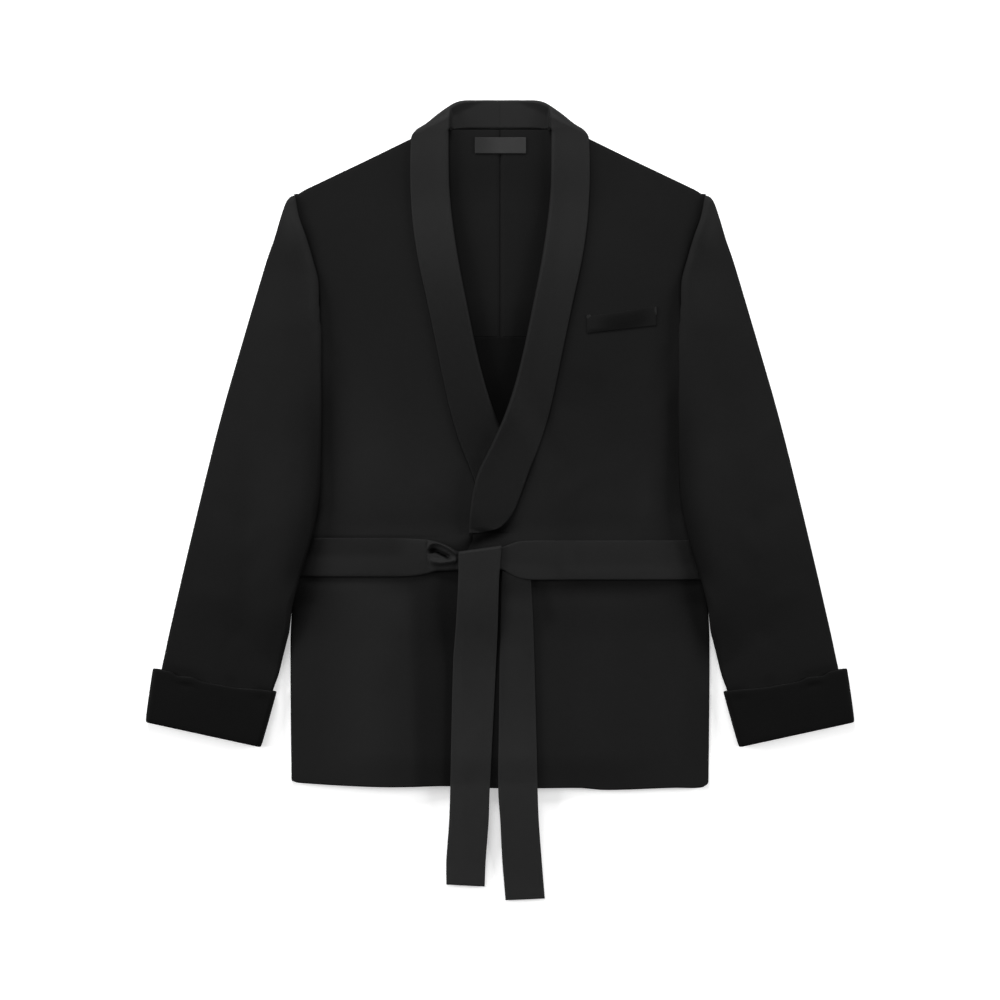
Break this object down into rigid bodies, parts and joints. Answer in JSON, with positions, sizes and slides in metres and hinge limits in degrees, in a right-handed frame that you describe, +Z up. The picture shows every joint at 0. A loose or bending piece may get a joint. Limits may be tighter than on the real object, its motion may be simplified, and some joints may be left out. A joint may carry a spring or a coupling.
{
  "type": "smoking jacket",
  "caption": "Dark cloth smoking jacket laid flat, with shawl collar, turned-back cuffs, a breast welt pocket and a tied cloth belt.",
  "frame": {"origin": "middle of the garment's outline on the surface it lies on", "axes": "+Z up from the surface it lies on, +Y from hem to collar, +X to the wearer's left"},
  "size_m": [0.813, 0.9188, 0.0244],
  "materials": {
    "body_cloth": "matt brushed wool",
    "facing_cloth": "soft satin",
    "velvet": "short-pile velvet",
    "yoke_cloth": "matt",
    "lining_cloth": "smooth lining",
    "label_cloth": "woven, bare"
  },
  "bodies": {
    "root": {"back_left": "body_cloth", "back_right": "body_cloth", "front_left": "body_cloth", "front_right": "body_cloth", "collar_left": "facing_cloth", "collar_right": "facing_cloth", "yoke_lining_left": "yoke_cloth", "yoke_lining_right": "yoke_cloth", "lower_lining": "lining_cloth", "upper_sleeve_left": "body_cloth", "upper_sleeve_right": "body_cloth", "under_sleeve_left": "body_cloth", "under_sleeve_right": "body_cloth", "cuff_left": "velvet", "cuff_right": "velvet", "breast_welt": "velvet", "neck_label": "label_cloth", "belt_front_left": "facing_cloth", "belt_front_right": "facing_cloth", "belt_back": "facing_cloth", "belt_knot": "facing_cloth", "belt_tail_upper": "facing_cloth", "belt_tail_lower": "facing_cloth"}
  },
  "joints": []
}
